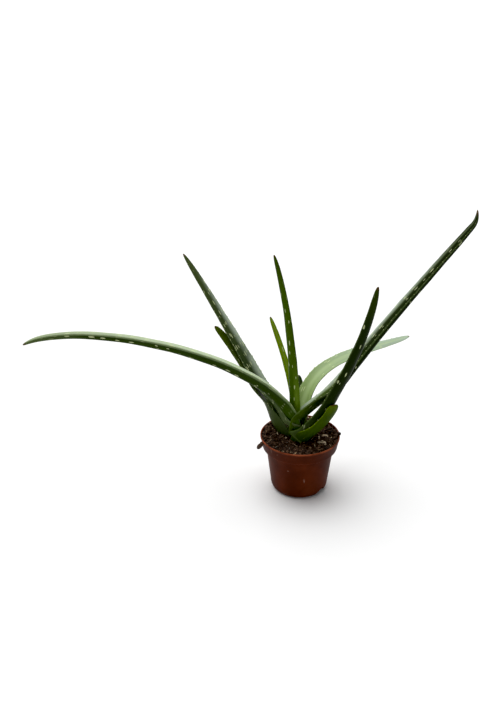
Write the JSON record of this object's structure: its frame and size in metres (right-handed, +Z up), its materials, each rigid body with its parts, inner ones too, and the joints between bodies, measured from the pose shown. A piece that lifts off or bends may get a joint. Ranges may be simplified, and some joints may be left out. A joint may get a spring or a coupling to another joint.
{
  "type": "potted aloe plant",
  "caption": "Young aloe with long tapering succulent leaves arching out of a round plastic grower's pot filled with dark peat compost; stands on the pot's flat base.",
  "frame": {"origin": "middle of the pot's flat underside", "axes": "+Z up out of the pot; +X to the side where the longest upright leaf leans, along the plant's widest spread; -Y towards the side the plant is seen from"},
  "size_m": [0.5549, 0.192, 0.3766],
  "materials": {
    "pot_plastic": "satin terracotta-coloured plastic with faint scuffs",
    "compost": "matt moist peat with fibres and tan bits",
    "stem": "matt",
    "leaf_young": "waxy with whitish spots",
    "leaf_pale": "waxy with pale bloom",
    "leaf_yellow_green": "waxy with a few rusty spots",
    "leaf_mid": "waxy with whitish spots",
    "leaf_dark": "waxy",
    "pale_bark": "matt and fibrous",
    "dark_bark": "matt"
  },
  "bodies": {
    "root": {"pot": "pot_plastic", "soil": "compost", "stem": "stem", "leaf_centre": "leaf_young", "leaf_arching_right": "leaf_pale", "leaf_short_back": "leaf_yellow_green", "leaf_stub_back": "leaf_dark", "leaf_arching_left": "leaf_pale", "leaf_long_right": "leaf_mid", "leaf_tall_left": "leaf_mid", "leaf_dark_right": "leaf_dark", "leaf_low_right": "leaf_mid", "leaf_short_left": "leaf_dark", "chip_front": "pale_bark", "bark_chunk": "pale_bark", "splinter": "pale_bark", "chip_right": "pale_bark", "chip_back_right": "pale_bark", "twig_left_rim": "dark_bark", "crumb_right_rim": "dark_bark"}
  },
  "joints": []
}
